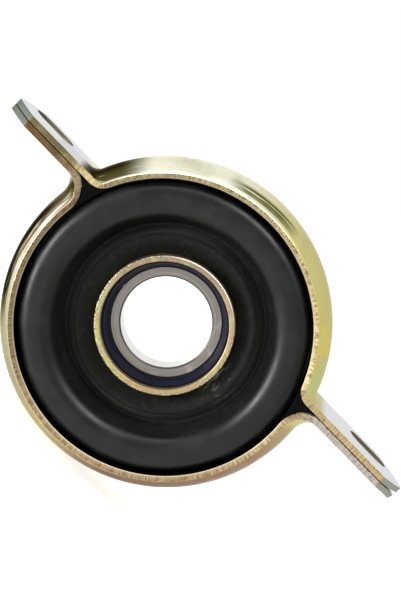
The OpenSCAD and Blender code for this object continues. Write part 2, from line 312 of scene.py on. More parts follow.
def around(material, degrees, wide):
    # 1 on the side of the shaft that lies at this angle of the picture, 0 beyond wide degrees from it
    turn = math.radians(degrees)
    way = picRight * math.cos(turn) + picUp * math.sin(turn)
    way.y = 0
    flat = coordinate(material, "Object", (1, 0, 1))
    unit = put(material, "ShaderNodeVectorMath", {0: flat}, operation="NORMALIZE").outputs["Vector"]
    side = put(material, "ShaderNodeVectorMath", {0: unit, 1: way.normalized()}, operation="DOT_PRODUCT")
    edge, full = (math.cos(math.radians(d)) for d in (wide, wide / 3))
    return remap(material, side.outputs["Value"], edge, full)


def startLook(name, look, **sockets):
    # a material and its values: where a point lies, in millimetres, and the noises of the look
    material = startMaterial(name, **sockets)
    place = coordinate(material, "Object", (1 / mm, 1 / mm, 1 / mm))
    axes = put(material, "ShaderNodeSeparateXYZ", {"Vector": place}).outputs
    flat = coordinate(material, "Object", (1 / mm, 0, 1 / mm))
    values = {
        "x": axes["X"],
        "y": axes["Y"],
        "z": axes["Z"],
        "reach": put(material, "ShaderNodeMath", {0: axes["X"]}, operation="ABSOLUTE").outputs["Value"],
        "radius": put(material, "ShaderNodeVectorMath", {0: flat}, operation="LENGTH").outputs["Value"],
    }
    for key, settings in look["noises"].items():
        values[key] = noise(material, *settings)
    return material, values


def shareOf(material, values, place, masks):
    # the product of a place and of masks; a mask without a range is a share already
    shares = [around(material, *place)] if place else []
    for name, *span in masks:
        shares.append(remap(material, values[name], *span) if span else values[name])
    return multiply(material, *shares)


def layTints(material, values, look, tint):
    # the layers lie over each other in their order
    for place, masks, colour in look["layers"]:
        tint = blendColour(material, shareOf(material, values, place, masks), tint, look[colour])
    return tint


def paler(material, tint):
    # what a metal shows at grazing angles
    return blendColour(material, grazingShare, white, tint)


def finishLook(material, values, look, tint, grazing=None):
    sockets = shaderOf(material).inputs
    link(material, tint, sockets["Base Color"])
    if grazing is not None:
        link(material, grazing, sockets["Specular Tint"])
    value, *span = look["gloss"]
    link(material, remap(material, values[value], *span), sockets["Roughness"])
    under = {}
    for value, depth, strength in look["bumps"]:
        inputs = {"Height": values[value], "Distance": depth * mm, "Strength": strength, **under}
        under = {"Normal": put(material, "ShaderNodeBump", inputs).outputs["Normal"]}
    link(material, under["Normal"], sockets["Normal"])
    return material


# Bracket halves: a strip of fibres, each with its own ring circle, bend and ear

bracket = {
    "sheet": 2.5,
    "ringRadius": 56.4,
    "ringHalf": 15.8,
    "hollow": 4.6,
    "hollowPower": 2.5,
    "offset": 7.0,
    "earHeight": 18.5,
    "earHalf": 15.5,
    "bend": {1: 7.0, -1: 10.5},  # upper, lower
    "slotAt": {1: 89.3, -1: 82.3},  # long ear, short ear
    "slotEnd": {1: 18.0, -1: 16.5},
    "slotWidth": 11.0,
    "slotLength": 19.0,
    "slotBack": 4.8,
    "tipCut": 8.5,
    "tipSlant": 12.0,
    "tipFront": 5.5,
    "tipBack": 2.5,
    "tipPower": 0.75,
    "tipCrowd": 1.5,  # the points of the cut and of the slant crowd towards the tip
    "rootGap": 1.2,  # between the straight root line and the slot
    "jointGap": 0.3,
    "tipGap": 1.3,
    "tipFlare": 9.0,
    "across": 41,
    "ringStep": 1.5,  # degrees
    "bendSteps": 15,
    "rootSteps": 4,
    "earSteps": 9,
    "edgeRound": 0.35,
    "edgeFold": 50,  # degrees, sharper edges are rounded
    "sharpFold": 40,
}


# Plating: yellow zinc whose tint drifts round the ring, partly as plating tint and partly as painted
# reflection and shade, paler at the top and pink-brown at the bottom; silver on the ears, partly painted
# reflection too; painted dark reflections on the outer surface; dark in the ears' joint

plating = {
    # the pale base stays mostly at the top: partly plating tint, partly painted reflection
    "pale": linear(236, 235, 212),
    "yellowGreen": linear(196, 189, 126),
    "yellow": linear(210, 194, 96),
    "green": linear(184, 198, 134),
    "paleGreen": linear(160, 158, 126),
    "pinkBrown": linear(130, 102, 84),
    "rose": linear(176, 148, 134),
    "dull": linear(140, 132, 100),
    # silver on the ears: partly painted reflection
    "silver": linear(234, 235, 238),
    "joint": linear(34, 32, 28),
    "noises": {
        "streak": ("UV", (0.03, 0.55, 1), 4, 0.6),
        "cloud": ("Object", (45, 45, 45), 4, 0.5, 0.6),
        "drift": ("Object", (32, 32, 32), 3, 0.5, 0.8),
        "fine": ("UV", (0.04, 1.1, 1), 3, 0.6),
        "drawn": ("UV", (0.05, 1.6, 1), 5, 0.65),
        "speck": ("Object", (900, 900, 900), 3),
        "wave": ("Object", (60, 60, 60), 2),
    },
    # tints by picture angle: partly plating tint, partly painted reflection and shade
    "layers": (
        ((0, 70), (), "yellowGreen"),
        ((10, 60), (("drift", 0.36, 0.47, 0.8, 0.0),), "yellow"),
        ((350, 60), (("drift", 0.51, 0.62, 0.0, 0.8),), "green"),
        ((205, 70), (), "paleGreen"),
        ((276, 80), (), "yellowGreen"),
        ((276, 62), (("front",), ("cloud", 0.3, 0.5, 0.7, 1.0)), "pinkBrown"),
        ((210, 60), (("streak", 0.5, 0.62),), "rose"),
        ((138, 26), (("streak", 0.44, 0.54),), "rose"),
        (None, (("cloud", 0.5, 0.8, 0.0, 0.45),), "dull"),
    ),
    "front": ("y", -1.0, -9.0),  # the pink-brown at the bottom and the painted dark reflections fade in towards the front
    "paintedDarkReflections": (  # painted dark reflections on the outer surface: place, first and last radius, colour
        ((112, 20), (58.5, 80), linear(92, 88, 60)),
        ((150, 34), (59.6, 80), linear(74, 74, 50)),
        ((50, 17), (59.2, 61.6), linear(110, 110, 68)),
    ),
    "darkReflectionFade": 0.8,
    "darkReflectionGaps": ("fine", 0.54, 0.62, 1.0, 0.0),
    "darkReflectionFull": ("radius", 61.0, 61.8),  # the painted dark reflections have no gaps further out
    "darkReflectionShine": 0.88,  # share of a painted dark reflection's colour at grazing angles
    "ears": ("reach", 62, 67, 0.0, 0.9),
    "jointHalf": 0.25,  # faces this close to the joint of the ears are dark
    "jointFade": 0.1,
    "gloss": ("drawn", 0.3, 0.75, 0.2, 0.38),
    "bumps": (("wave", 0.25, 0.35), ("drawn", 0.03, 0.4), ("speck", 0.02, 0.25)),
}


def jointMasks():
    # the faces of the two ears that meet
    middle = bracket["earHeight"] - bracket["jointGap"] / 2
    half, fade = plating["jointHalf"], plating["jointFade"]
    return ("z", middle - half - fade, middle - half), ("z", middle + half + fade, middle + half)


def platedSurface(name):
    p = plating
    material, values = startLook(name, p, Metallic=1.0)
    values["front"] = shareOf(material, values, None, (p["front"],))
    gaps, full = (shareOf(material, values, None, (p[key],)) for key in ("darkReflectionGaps", "darkReflectionFull"))
    values["covered"] = largest(material, gaps, full)
    tint = layTints(material, values, p, p["pale"])
    grazing = paler(material, tint)
    fade = p["darkReflectionFade"]
    # painted dark reflections: a darker colour and a darker grazing shine
    for place, (first, last), colour in p["paintedDarkReflections"]:
        masks = (("radius", first, first + fade), ("radius", last + fade, last), ("front",), ("covered",))
        share = shareOf(material, values, place, masks)
        tint = blendColour(material, share, tint, colour)
        shine = tuple(1 - p["darkReflectionShine"] * (1 - c) for c in colour)
        grazing = blendColour(material, share, grazing, shine)
    for colour, masks in (("silver", ()), ("joint", jointMasks())):
        share = shareOf(material, values, None, (p["ears"], *masks))
        tint = blendColour(material, share, tint, p[colour])
        grazing = blendColour(material, share, grazing, p[colour])
    return finishLook(material, values, p, tint, grazing)


# Sheared edges: ring, short ear and long ear have their own colours, tips are grey, slots dark olive

shear = {
    "upper": {"ring": linear(172, 158, 120), "short": linear(88, 84, 56), "long": linear(172, 152, 116)},
    "lower": {"ring": linear(142, 125, 97), "short": linear(86, 64, 46), "long": linear(166, 160, 154)},
    "shade": linear(140, 126, 88),
    "dark": linear(96, 82, 56),
    # painted highlight: the inner rim of the front edge is lighter
    "rim": linear(186, 176, 146),
    "bright": linear(240, 236, 214),
    "slotOlive": linear(100, 96, 78),
    "tipGrey": {1: linear(150, 150, 142), -1: linear(94, 99, 91)},  # long ear, short ear
    "tipFade": 0.4,
    "noises": {
        "ribs": ("UV", (2.3, 0.03, 1), 2),
        "cloud": ("Object", (90, 90, 90), 4, 0.6),
        "torn": ("Object", (800, 800, 800), 3, 0.6),
        "worn": ("UV", (0.8, 0.02, 1), 4, 0.7),
    },
    "layers": (  # the last three are the tear line, the worn corner outside it and the slots
        (None, (("x", -61, -72),), "short"),
        (None, (("cloud", 0.5, 0.75, 0.0, 0.7),), "shade"),
        (None, (("x", 58, 66),), "long"),
        (None, (("ribs", 0.34, 0.58, 0.38, 0.0),), "dark"),
        (None, (("torn", 0.36, 0.52, 0.5, 0.0),), "dark"),
        # painted highlight along the inner rim
        (None, (("radius", 57.1, 56.5),), "rim"),
        (None, (("radius", 57.5, 57.8), ("radius", 58.4, 58.1), ("ribs", 0.42, 0.56, 0.8, 0.0)), "dark"),
        (
            None,
            (("radius", 58.3, 58.6), ("radius", 59.6, 59.2), ("worn", 0.49, 0.57), ("reach", 52, 48)),
            "bright",
        ),
        (None, (("reach", 70, 72), ("y", -12, -10)), "slotOlive"),
    ),
    "gloss": ("ribs", 0.3, 0.7, 0.75, 0.62),
    "bumps": (("ribs", 0.03, 0.4), ("torn", 0.05, 0.4)),
}


def shearedEdge(name, half):
    look = {**shear, **shear[half]}
    material, values = startLook(name, look, Metallic=1.0)
    tint = layTints(material, values, look, look["ring"])
    for hand, grey in look["tipGrey"].items():
        cut = bracket["slotAt"][hand] + bracket["slotEnd"][hand] - bracket["tipCut"]
        beyond = remap(material, values["x"], hand * cut, hand * (cut + look["tipFade"]))
        tint = blendColour(material, beyond, tint, grey)
    return finishLook(material, values, look, tint, paler(material, tint))


def earLevel(side):
    return bracket["earHeight"] - (bracket["jointGap"] if side < 0 else 0)


def stripGrid(side):
    # rows run from the long ear to the short ear, columns from the back lip to the front lip; the fibre at
    # share u across has the radius ringRadius + hollow (1 - |u| to the hollowPower), and an arc that
    # touches its circle and the plane of the ears bends it into the ear
    b = bracket
    u = np.linspace(-1, 1, b["across"])[None, :]
    fibre = b["ringRadius"] + b["hollow"] * (1 - np.abs(u) ** b["hollowPower"])
    bend = b["bend"][side]
    bendZ = earLevel(side) + side * bend
    bendX = np.sqrt((fibre + bend) ** 2 - bendZ ** 2)
    last = np.arctan2(bendZ, bendX)
    t = np.linspace(0, 1, b["bendSteps"])[:, None]
    turn = -side * math.pi / 2 + (side * math.pi / 2 - last) * t
    bendAcross = bendX - bend * np.cos(turn)
    bendRise = bendZ + bend * np.sin(turn)
    late = np.maximum(0, 2 * t - 1)
    widening = late * late * (3 - 2 * late)
    bendHalf = b["earHalf"] + (b["ringHalf"] - b["earHalf"]) * widening + 0 * u
    sweep = math.pi - side * 2 * last
    steps = int(math.ceil(math.degrees(sweep.max()) / b["ringStep"]))
    s = np.linspace(0, 1, steps + 1)[1:-1, None]
    ringTurn = last + side * sweep * s
    x = np.concatenate([bendAcross, fibre * np.cos(ringTurn), -bendAcross[::-1]])
    z = np.concatenate([bendRise, fibre * np.sin(ringTurn), bendRise[::-1]])
    half = np.concatenate([bendHalf, b["ringHalf"] + 0 * ringTurn, bendHalf[::-1]])
    y = -(b["offset"] + half * u)
    return np.stack([x, y, z], axis=-1)


def rootGrid(joint, hand):
    # rows go from the curved joint with the bend to a straight line across the ear
    b = bracket
    line = joint.copy()
    line[:, 0] = hand * (b["slotAt"][hand] - b["slotLength"] / 2 - b["rootGap"])
    return joint + (line - joint) * np.linspace(0, 1, b["rootSteps"])[:, None, None]


def earOutline(joint, hand):
    # closed outline of one ear: root line, front edge and its cut, tip, slant and back edge
    b = bracket
    tip = b["slotAt"][hand] + b["slotEnd"][hand]
    half = b["earHalf"]
    steps = b["earSteps"]
    run = np.linspace(0, 1, 3 * steps)[1:-1]
    share = np.linspace(1, 0, 2 * steps) ** b["tipCrowd"]
    bulge = share ** b["tipPower"]
    startX = abs(joint[-1, 0])
    frontX = np.concatenate([startX + (tip - b["tipCut"] - startX) * run, tip - b["tipCut"] * share])
    backX = np.concatenate([startX + (tip - b["tipSlant"] - startX) * run, tip - b["tipSlant"] * share])
    frontY = np.concatenate([half + 0 * run, b["tipFront"] + (half - b["tipFront"]) * bulge])
    backY = np.concatenate([-half + 0 * run, b["tipBack"] - (half + b["tipBack"]) * bulge])
    front = np.stack([hand * frontX, -b["offset"] - frontY], axis=1)
    back = np.stack([hand * backX, -b["offset"] - backY], axis=1)
    across = np.linspace(front[-1], back[-1], steps)[1:-1]
    return np.concatenate([joint[:, :2], front, across, back[::-1], joint[:1, :2]])


def earGrid(joint, side, hand):
    # rows go from the rim of the slot to the outline of the ear, columns go round the slot
    b = bracket
    outline = earOutline(joint, hand)
    straight = (b["slotLength"] - b["slotWidth"]) / 2
    centre = hand * b["slotAt"][hand]
    spineX = np.clip(outline[:, 0], centre - straight, centre + straight)
    spine = np.stack([spineX, b["slotBack"] - b["offset"] + 0 * spineX], axis=1)
    outward = outline - spine
    rim = spine + outward / np.linalg.norm(outward, axis=1, keepdims=True) * b["slotWidth"] / 2
    t = np.linspace(0, 1, b["earSteps"])[:, None, None]
    flat = rim + (outline - rim) * t
    tip = b["slotAt"][hand] + b["slotEnd"][hand]
    inset = tip - np.abs(flat[..., 0])
    opens = b["tipGap"] if side < 0 and hand > 0 else 0.0
    drop = opens * np.maximum(0, 1 - inset / b["tipFlare"]) ** 2
    return np.concatenate([flat, (earLevel(side) - drop)[..., None]], axis=-1)


def stripUv(grid):
    # millimetres along the strip and across it
    along = np.cumsum(np.linalg.norm(np.diff(grid, axis=0, prepend=grid[:1]), axis=-1), axis=0)
    along = along[:, -1:] + 0 * along
    return np.stack([along, -grid[..., 1]], axis=-1).reshape(-1, 2)


def rootUv(grid):
    return np.stack([grid[..., 0], -grid[..., 1]], axis=-1).reshape(-1, 2)


def earUv(grid):
    # millimetres round the outline of the ear, the same on a whole column
    step = np.linalg.norm(np.diff(grid[-1], axis=0, prepend=grid[-1][:1]), axis=-1)
    along = np.cumsum(step)[None, :] + 0 * grid[..., 0]
    return np.stack([along, -grid[..., 1]], axis=-1).reshape(-1, 2)


def makeBracket(name, node, side, half):
    strip = stripGrid(side)
    roots = [rootGrid(strip[0], 1), rootGrid(strip[-1], -1)]
    ears = [earGrid(roots[0][-1], side, 1), earGrid(roots[1][-1], side, -1)]
    grids = [strip, *roots, *ears]
    uvs = [stripUv(strip), *[rootUv(g) for g in roots], *[earUv(g) for g in ears]]
    starts = np.cumsum([0] + [g.shape[0] * g.shape[1] for g in grids])
    faces = np.concatenate([gridFaces(g.shape[0], g.shape[1]) + s for g, s in zip(grids, starts)])
    points = np.concatenate([g.reshape(-1, 3) for g in grids]) * mm
    piece = makePiece(name, points, faces, np.concatenate(uvs), bracket["sharpFold"])
    turnOutwards(piece.data)
    wall = piece.modifiers.new("sheet", "SOLIDIFY")
    wall.thickness = bracket["sheet"] * mm
    wall.offset = 1
    wall.use_quality_normals = True
    wall.material_offset_rim = 1
    rounding = piece.modifiers.new("edges", "BEVEL")
    rounding.width = bracket["edgeRound"] * mm
    rounding.segments = 2
    rounding.limit_method = "ANGLE"
    rounding.angle_limit = math.radians(bracket["edgeFold"])
    edge = shearedEdge(name + "Edge", half)
    dress(piece, node, "zinc_plate", platedSurface(name + "Plating"), edge)


def turnOutwards(mesh):
    # faces agree with each other, and those on the ring, furthest from the ears, point away from the shaft
    work = bmesh.new()
    work.from_mesh(mesh)
    bmesh.ops.recalc_face_normals(work, faces=work.faces)
    furthest = max(work.faces, key=lambda face: abs(face.calc_center_median().z))
    if furthest.normal.z * furthest.calc_center_median().z < 0:
        bmesh.ops.reverse_faces(work, faces=work.faces)
    work.to_mesh(mesh)
    work.free()


makeBracket("upperBracket", "upper_bracket", 1, "upper")
makeBracket("lowerBracket", "lower_bracket", -1, "lower")
print("bracket halves made")


# Bearing: main sizes in millimetres, as radii and as distances forward of the middle

bearing = {
    "bore": 17.5,
    "outside": 31.0,
    "half": 7.0,
    "ball": 3.969,
    "grooveDepth": 1.15,
    "grooveShare": 0.52,
    "grooveSteps": 17,
    "ballGap": 0.06,
    "raceRound": 0.8,
    "shoulderRound": 0.3,
    "sealThick": 0.9,
    "sealRecess": 0.5,
    "sealSeat": 1.0,
    "sealRidge": 1.1,
    "sealStep": 0.25,
    "sealRound": 0.2,
    "seatGap": 0.1,
    "lipGap": 0.5,
    "lipTouch": 0.08,  # the seals' soft lips nearly touch the race
    "steps": 192,
}
pitch = (bearing["bore"] + bearing["outside"]) / 2
innerShoulder = pitch - bearing["ball"] + bearing["grooveDepth"]
outerShoulder = pitch + bearing["ball"] - bearing["grooveDepth"]
sealBack = bearing["half"] - bearing["sealRecess"] - bearing["sealThick"]
sealSeat = outerShoulder + bearing["sealSeat"]


def grooveCorners(shoulder, side):
    # the ball groove as an arc between two points of the shoulder, side is 1 for the inner race
    radius = 2 * bearing["ball"] * bearing["grooveShare"]
    centre = pitch + side * (radius - bearing["ball"] - bearing["ballGap"])
    reach = math.acos(abs(shoulder - centre) / radius)
    angle = np.linspace(-reach, reach, bearing["grooveSteps"])
    radii = centre - side * radius * np.cos(angle)
    return [(r, f, 0) for r, f in zip(radii, side * radius * np.sin(angle))]


groundLook = {
    "shade": linear(94, 90, 86),
    "pale": linear(160, 154, 146),
    "boreEdge": linear(70, 67, 63),
    # painted reflection: the bore's wall is pale, as if it mirrored white
    "paintedBoreReflection": linear(226, 226, 224),
    "noises": {"cloud": ("Object", (120, 120, 120), 3)},
    "lineStretch": 0.02,
    "lineGrain": (6, 0.75),  # detail, roughness
    "layers": (
        (None, (("lines", 0.65, 0.35),), "shade"),
        (None, (("cloud", 0.55, 0.8),), "pale"),
        (None, (("radius", 18.4, 17.9),), "boreEdge"),
        # painted reflection on the bore's wall
        (None, (("radius", 17.62, 17.52),), "paintedBoreReflection"),
    ),
    "gloss": ("lines", 0.3, 0.7, 0.42, 0.26),
    "bumps": (("lines", 0.02, 0.5),),
}


def groundSteel(name, colour, rings):
    # with lines from grinding, closer together where rings is larger
    lines = ("UV", (groundLook["lineStretch"], rings, 1), *groundLook["lineGrain"])
    look = {**groundLook, "noises": {**groundLook["noises"], "lines": lines}}
    material, values = startLook(name, look, Metallic=1.0)
    return finishLook(material, values, look, layTints(material, values, look, colour))


steel = groundSteel("raceSteel", linear(132, 128, 123), 5.0)

innerCorners = [
    (bearing["bore"], -bearing["half"], bearing["raceRound"]),
    (innerShoulder, -bearing["half"], bearing["shoulderRound"]),
    *grooveCorners(innerShoulder, 1),
    (innerShoulder, bearing["half"], bearing["shoulderRound"]),
    (bearing["bore"], bearing["half"], bearing["raceRound"]),
]
innerRace = turned("innerRace", roundedOutline(innerCorners), bearing["steps"])
dress(innerRace, "inner_race", "race_steel", steel)

outerCorners = [
    (outerShoulder, sealBack, 0),
    *grooveCorners(outerShoulder, -1),
    (outerShoulder, -sealBack, 0),
    (sealSeat, -sealBack, 0),
    (sealSeat, -bearing["half"], bearing["shoulderRound"]),
    (bearing["outside"], -bearing["half"], bearing["raceRound"]),
    (bearing["outside"], bearing["half"], bearing["raceRound"]),
    (sealSeat, bearing["half"], bearing["shoulderRound"]),
    (sealSeat, sealBack, 0),
]
outerRace = turned("outerRace", roundedOutline(outerCorners), bearing["steps"])
dress(outerRace, "outer_race", "race_steel", steel)


mouldedLook = {
    "noises": {"cloud": ("Object", (90, 90, 90), 5, 0.6), "fine": ("Object", (700, 700, 700), 4)},
    "layers": ((None, (("cloud", 0.45, 0.8),), "worn"),),
    "gloss": ("cloud", 0.3, 0.75, 0.32, 0.48),
    "bumps": (("cloud", 0.15, 0.25), ("fine", 0.03, 0.35)),
}


def mouldedRubber(name, colour, worn, shine):
    look = {**mouldedLook, "worn": worn}
    material, values = startLook(name, look, Specular_IOR_Level=shine)
    return finishLook(material, values, look, layTints(material, values, look, colour))


sealRubber = mouldedRubber("sealRubber", linear(24, 24, 26), linear(40, 40, 42), 0.25)


def makeSeal(name, node, side):
    inner = innerShoulder + bearing["lipTouch"]
    outer = sealSeat - bearing["seatGap"]
    back = side * (sealBack + bearing["seatGap"])
    face = back + side * bearing["sealThick"]
    step = bearing["sealStep"]
    ridge = bearing["sealRidge"]
    corners = [
        (inner, back, 0),
        (outer, back, 0),
        (outer, face, bearing["sealRound"]),
        (outer - ridge, face, 0),
        (outer - ridge - step, face - side * step, 0),
        (inner + ridge + step, face - side * step, 0),
        (inner + ridge, face, 0),
        (inner, face, bearing["sealRound"]),
    ]
    dress(turned(name, roundedOutline(corners), bearing["steps"]), node, "seal_rubber", sealRubber)


makeSeal("frontSeal", "front_seal", 1)
makeSeal("rearSeal", "rear_seal", -1)
print("bearing made")


# Sleeve with its neck, and the dust seal in the neck

sleeve = {
    "sheet": 2.3,
    "neckReach": 9.5,
    "backLip": 2.0,
    "sealWidth": 2.5,
    "sealInset": 4.2,
    "sealLip": 1.0,
    "sealRim": 0.8,
    "lipRound": 0.4,
    "seatRound": 0.3,
    "mouthRound": 0.5,
    "rootRound": 0.8,
    "frontRound": 3.0,
    "backRound": 2.5,
    "sealRound": 0.3,
    "sealHeel": (0.2, 0.6),  # rounds at the back, inside and outside
    "steps": 256,
}
sleeveIn = bearing["outside"] + bearing["seatGap"]
sleeveOut = sleeveIn + sleeve["sheet"]
flangeBack = bearing["half"] + bearing["seatGap"]
flangeFront = flangeBack + sleeve["sheet"]
dustIn = innerShoulder + bearing["lipGap"]
dustOut = dustIn + sleeve["sealWidth"]
neckIn = dustOut + bearing["seatGap"]
neckOut = neckIn + sleeve["sheet"]
neckFront = bearing["half"] + sleeve["neckReach"]


sleeveLook = {
    "beige": linear(166, 154, 122),
    "brown": linear(140, 128, 108),
    "olive": linear(170, 166, 122),
    "orange": linear(166, 146, 108),
    "rose": linear(180, 136, 118),
    "yellow": linear(186, 180, 112),
    "shade": linear(104, 94, 68),
    "nick": linear(88, 78, 58),
    "tick": linear(206, 200, 176),
    "glint": linear(228, 222, 204),
    "cornerWidth": 0.6,
    "cornerDepth": 1.5,
    "nicked": ("nicks", 0.43, 0.5, 1.0, 0.0),
    "noises": {
        "cloud": ("Object", (170, 170, 170), 4, 0.6),
        "lines": ("UV", (0.03, 5.0, 1), 5, 0.7),
        "speck": ("Object", (1100, 1100, 1100), 2),
        "nicks": ("UV", (1.8, 0.1, 1), 3, 0.7),
    },
    # tints by picture angle: partly plating tint, partly painted reflection
    "layers": (
        ((90, 75), (), "brown"),
        ((190, 70), (), "olive"),
        ((262, 55), (), "orange"),
        (None, (("cloud", 0.52, 0.64, 0.0, 0.5),), "rose"),
        (None, (("cloud", 0.36, 0.46, 0.45, 0.0),), "yellow"),
        (None, (("lines", 0.35, 0.7, 0.4, 0.0),), "shade"),
        (None, (("speck", 0.36, 0.5, 0.45, 0.0),), "shade"),
        (None, (("corner",), ("nicks", 0.53, 0.6)), "tick"),
        (None, (("nicked",),), "nick"),
        ((45, 48), (("corner",),), "glint"),
    ),
    "gloss": ("lines", 0.3, 0.7, 0.56, 0.4),
    "bumps": (("lines", 0.03, 0.4), ("nicked", 0.12, 0.6)),
}


def satinPlating(name):
    # tints drift round the neck, partly as plating tint and partly as painted reflection, with a painted
    # glint on one side of its outer corner; the corner is nicked all round
    look = sleeveLook
    material, values = startLook(name, look, Metallic=1.0)
    width, depth = look["cornerWidth"], look["cornerDepth"]
    corner = ("radius", neckOut - width, neckOut - width / 2), ("y", depth - neckFront, width - neckFront)
    values["corner"] = shareOf(material, values, None, corner)
    values["nicked"] = shareOf(material, values, None, (("corner",), look["nicked"]))
    tint = layTints(material, values, look, look["beige"])
    return finishLook(material, values, look, tint, paler(material, tint))


lipRadius = sleeveIn - sleeve["backLip"]
sleeveCorners = [
    (lipRadius, -flangeFront, sleeve["lipRound"]),
    (lipRadius, -flangeBack, sleeve["seatRound"]),
    (sleeveIn, -flangeBack, sleeve["seatRound"]),
    (sleeveIn, flangeBack, sleeve["seatRound"]),
    (neckIn, flangeBack, sleeve["sheet"]),
    (neckIn, neckFront, sleeve["lipRound"]),
    (neckOut, neckFront, sleeve["mouthRound"]),
    (neckOut, flangeFront, sleeve["rootRound"]),
    (sleeveOut, flangeFront, sleeve["frontRound"]),
    (sleeveOut, -flangeFront, sleeve["backRound"]),
]
sleevePiece = turned("bearingSleeve", roundedOutline(sleeveCorners), sleeve["steps"])
dress(sleevePiece, "bearing_sleeve", "zinc_plate", satinPlating("sleevePlating"))

navyRubber = mouldedRubber("navyRubber", linear(9, 11, 29), linear(14, 15, 37), 0.09)
dustBack = bearing["half"] + bearing["lipGap"]
dustFront = neckFront - sleeve["sealInset"]
dustCorners = [
    (dustIn, dustBack, sleeve["sealHeel"][0]),
    (dustOut, dustBack, sleeve["sealHeel"][1]),
    (dustOut, dustFront, sleeve["sealRound"]),
    (dustOut - sleeve["sealRim"], dustFront, sleeve["sealRound"]),
    (dustIn, dustBack + sleeve["sealLip"], sleeve["sealRound"]),
]
dustSeal = turned("dustSeal", roundedOutline(dustCorners), sleeve["steps"])
dress(dustSeal, "dust_seal", "dust_seal", navyRubber)
print("sleeve and dust seal made")


# Rubber cushion

cushion = {
    "fitGap": 0.3,
    "hubCoat": 2.5,
    "hubRidge": 3.8,
    "ridgeInset": 1.4,
    "valleyStart": 1.4,
    "hubBackInset": 1.0,
    "ridgeRound": 2.2,
    "skin": 0.8,
    "valleyWidth": 3.0,
    "valleyRound": 1.4,
    "bulgeWall": 4.2,
    "outerRound": 5.2,
    "innerRound": 6.2,
    "bulgeGap": 1.0,
    "bulgeInset": -0.9,  # the bulge stands a little out of the bracket
    "outerLean": 0.4,
    "innerLean": 3.6,
    "valleyDepth": 0.2,
    "lipInset": 1.4,
    "grooveDepth": 6.5,
    "bandInset": 1.5,
    "wedgeInset": 1.0,
    "wedgeFront": 0.6,
    "wedgeBend": 0.75,  # share of the wedge that follows the upper bend
    "wedgeSteps": (33, 9),  # from the ring to the joint, from the lower to the upper bend
    "edgeRound": 0.6,
    "hollowRound": 2.5,
    "bulgeBackRound": 0.9,
    "grooveWidth": 0.6,
    "bandSteps": 33,
    "roundSteps": 13,
    "gap": 1.5,
    "steps": 288,
}


def cushionCorners():
    # the outline goes from the hub's back through the hollow behind the bulge, along the band in the
    # bracket, down into the groove at its lip, over the bulge, through the valley and up to the neck
    c = cushion
    core = bracket["ringRadius"] - c["fitGap"]
    hubIn = sleeveOut + bearing["seatGap"]
    hubOut = hubIn + c["hubCoat"]
    hubBack = -bearing["half"] + c["hubBackInset"]
    skinBack = flangeFront + bearing["seatGap"]
    skinIn = neckOut + c["fitGap"]
    ridge = skinBack + c["hubRidge"]
    bulgeOut = bracket["ringRadius"] - c["bulgeGap"]
    bulgeIn = hubOut + c["valleyWidth"]
    bulgeFront = bracket["offset"] + bracket["ringHalf"] - c["bulgeInset"]
    valley = skinBack - c["valleyDepth"]
    bandBack = bracket["offset"] - bracket["ringHalf"] + c["bandInset"]
    bandFront = bracket["offset"] + bracket["ringHalf"] - c["lipInset"]
    wall = c["bulgeWall"]
    forward = np.linspace(bandBack, bandFront, c["bandSteps"])
    u = np.abs(forward - bracket["offset"]) / bracket["ringHalf"]
    bandRadius = core + bracket["hollow"] * (1 - u ** bracket["hollowPower"])
    return [
        (hubIn, hubBack, 0),
        (hubOut, hubBack, c["edgeRound"]),
        (hubOut, valley - wall, c["hollowRound"]),
        (bulgeIn + wall, valley - wall, c["hollowRound"]),
        (bulgeIn + c["innerLean"] + wall, bulgeFront - wall, c["bulgeBackRound"]),
        (bulgeOut - wall, bulgeFront - wall, c["bulgeBackRound"]),
        (core - wall, bandBack, c["edgeRound"]),
        *[(r, f, 0) for r, f in zip(bandRadius, forward)],
        (bulgeOut + c["grooveWidth"], bandFront - c["grooveDepth"], 0),
        (bulgeOut, bandFront - c["grooveDepth"], 0),
        (bulgeOut - c["outerLean"], bulgeFront, c["outerRound"]),
        (bulgeIn + c["innerLean"], bulgeFront, c["innerRound"]),
        (bulgeIn, valley, c["valleyRound"]),
        (hubOut + c["valleyStart"], valley, c["valleyRound"] / 2),
        (hubOut - c["ridgeInset"], ridge, c["ridgeRound"]),
        (skinIn, skinBack + c["skin"], c["skin"] / 2),
        (skinIn, skinBack, 0),
        (hubIn, skinBack, c["hubCoat"]),
    ]


